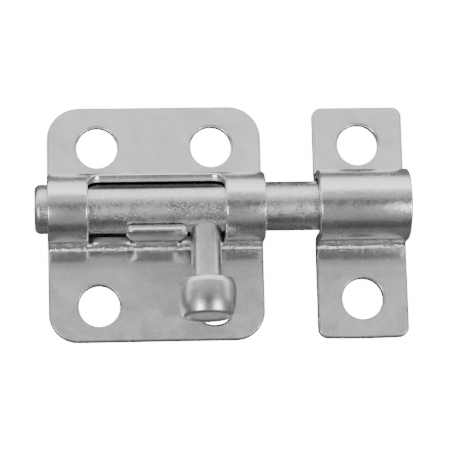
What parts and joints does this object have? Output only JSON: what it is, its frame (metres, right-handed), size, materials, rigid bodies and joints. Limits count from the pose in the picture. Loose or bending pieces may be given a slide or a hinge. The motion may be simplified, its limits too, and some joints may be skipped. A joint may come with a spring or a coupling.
{
  "type": "barrel bolt",
  "caption": "Small surface barrel bolt: a round bolt with a handle pin slides in a stamped case and shoots into a separate stamped keeper.",
  "frame": {"origin": "on the door face, under the middle of the case and keeper together, where both plates' backs lie", "axes": "+X along the bolt towards the keeper, +Y away from the handle across the plates, +Z out of the door"},
  "size_m": [0.048, 0.0308, 0.0088],
  "materials": {
    "case_sheet": "bright zinc plate on stamped steel sheet",
    "bolt_bar": "bright zinc plate on drawn bar, faintly spangled",
    "handle_pin": "bright zinc plate on a cold-headed pin, tumbled smooth",
    "keeper_sheet": "bright zinc plate on stamped steel sheet"
  },
  "bodies": {
    "case": {"case_plate": "case_sheet"},
    "bolt": {"bolt_rod": "bolt_bar"},
    "handle": {"handle_pin": "handle_pin"},
    "keeper": {"keeper": "keeper_sheet"}
  },
  "joints": [
    {"name": "bolt_slide", "type": "slide", "parent": "case", "child": "bolt", "axis": [1, 0, 0], "range_m": [-0.0004, 0.0004]},
    {"name": "handle_turn", "type": "hinge", "parent": "bolt", "child": "handle", "pos_m": [-0.00222, 0.00155, 0.004], "axis": [-1, 0, 0], "range_deg": [0, 114]},
    {"name": "keeper_slide", "type": "slide", "parent": "case", "child": "keeper", "axis": [1, 0, 0], "range_m": [0, 0.014]}
  ]
}
